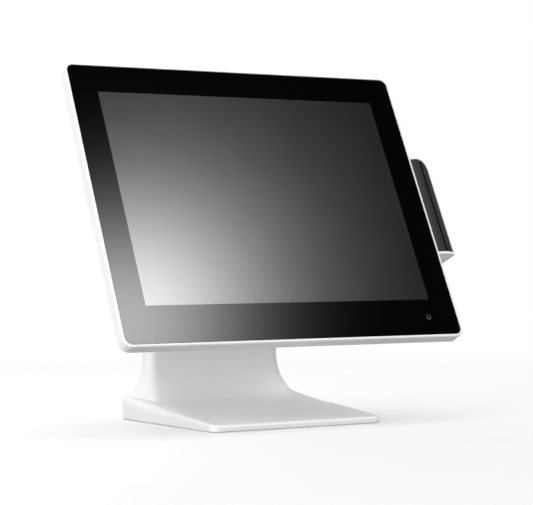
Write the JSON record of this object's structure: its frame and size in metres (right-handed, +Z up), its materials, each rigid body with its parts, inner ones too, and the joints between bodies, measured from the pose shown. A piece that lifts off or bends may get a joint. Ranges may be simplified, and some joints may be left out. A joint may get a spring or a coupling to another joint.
{
  "type": "pos touchscreen terminal",
  "caption": "Countertop touch display terminal with a side card reader, tilting on a friction hinge over a broad weighted wedge stand.",
  "frame": {"origin": "on the table, under the centre of the stand's footprint; the flat underside of the stand is 1.5 mm above it", "axes": "+X to the viewer's right, +Y away from the viewer, +Z up; the screen faces -Y and leans back 27.2 degrees"},
  "size_m": [0.3877, 0.2086, 0.3482],
  "materials": {
    "black_glass": "polished black",
    "white_shell": "satin white",
    "black_plastic": "fine texture",
    "foam": "closed-cell foam",
    "display": "matt polariser",
    "steel": "zinc plated",
    "board": "solder mask",
    "parts": "moulded",
    "alloy": "anodised",
    "brass": "turned",
    "iron": "black coated",
    "rubber": "matt",
    "screw": "plated",
    "cable": "flat cable"
  },
  "bodies": {
    "stand": {"stand_body": "white_shell", "stand_frame": "steel", "hinge_bracket": "steel", "hinge_pins": "steel", "hinge_washers": "steel", "hinge_nuts": "steel", "hinge_cover": "white_shell", "ballast_plate": "iron", "bottom_plate": "steel", "rubber_feet": "rubber", "bottom_screws": "screw", "frame_screws": "screw"},
    "neck_cover": {"neck_back_cover": "white_shell"},
    "port_cover": {"io_cover": "white_shell"},
    "reader_slider": {"reader_head": "steel"},
    "head": {"touch_glass": "black_glass", "front_bezel": "white_shell", "glass_gasket": "foam", "lcd_cell": "display", "lcd_backlight": "alloy", "power_key_board": "board", "chassis_plate": "steel", "chassis_standoffs": "brass", "mainboard": "board", "board_components": "parts", "heatsink": "alloy", "memory_module": "board", "solid_state_drive": "board", "display_cable": "cable", "touch_controller": "board", "speakers": "parts", "usb_ports": "steel", "network_ports": "steel", "dc_inlet": "parts", "video_port": "steel", "rear_housing": "white_shell", "chassis_screws": "screw", "board_screws": "screw", "housing_screws": "screw", "hinge_plate_screws": "screw", "reader_bracket": "white_shell", "reader_screws": "screw", "reader_shell": "white_shell", "reader_inner_cheek": "black_plastic", "reader_outer_cheek": "black_plastic", "reader_end_cap": "white_shell", "reader_spring": "steel", "reader_board": "board", "hinge_head_plate": "steel"}
  },
  "joints": [
    {"name": "head_tilt", "type": "hinge", "parent": "stand", "child": "head", "pos_m": [0, 0.01613, 0.17944], "axis": [-1, 0, 0], "range_deg": [-25, 35]},
    {"name": "neck_cover_lift", "type": "slide", "parent": "stand", "child": "neck_cover", "axis": [0, 1, 0], "range_m": [0, 0.04]},
    {"name": "port_cover_lift", "type": "slide", "parent": "head", "child": "port_cover", "axis": [0, 0.8894, -0.4571], "range_m": [0, 0.035]},
    {"name": "reader_head_float", "type": "slide", "parent": "head", "child": "reader_slider", "axis": [-1, 0, 0], "range_m": [0, 0.0008], "stiffness_N_per_m": 400, "springref_m": -0.0004, "deforming": ["reader_spring"]}
  ]
}
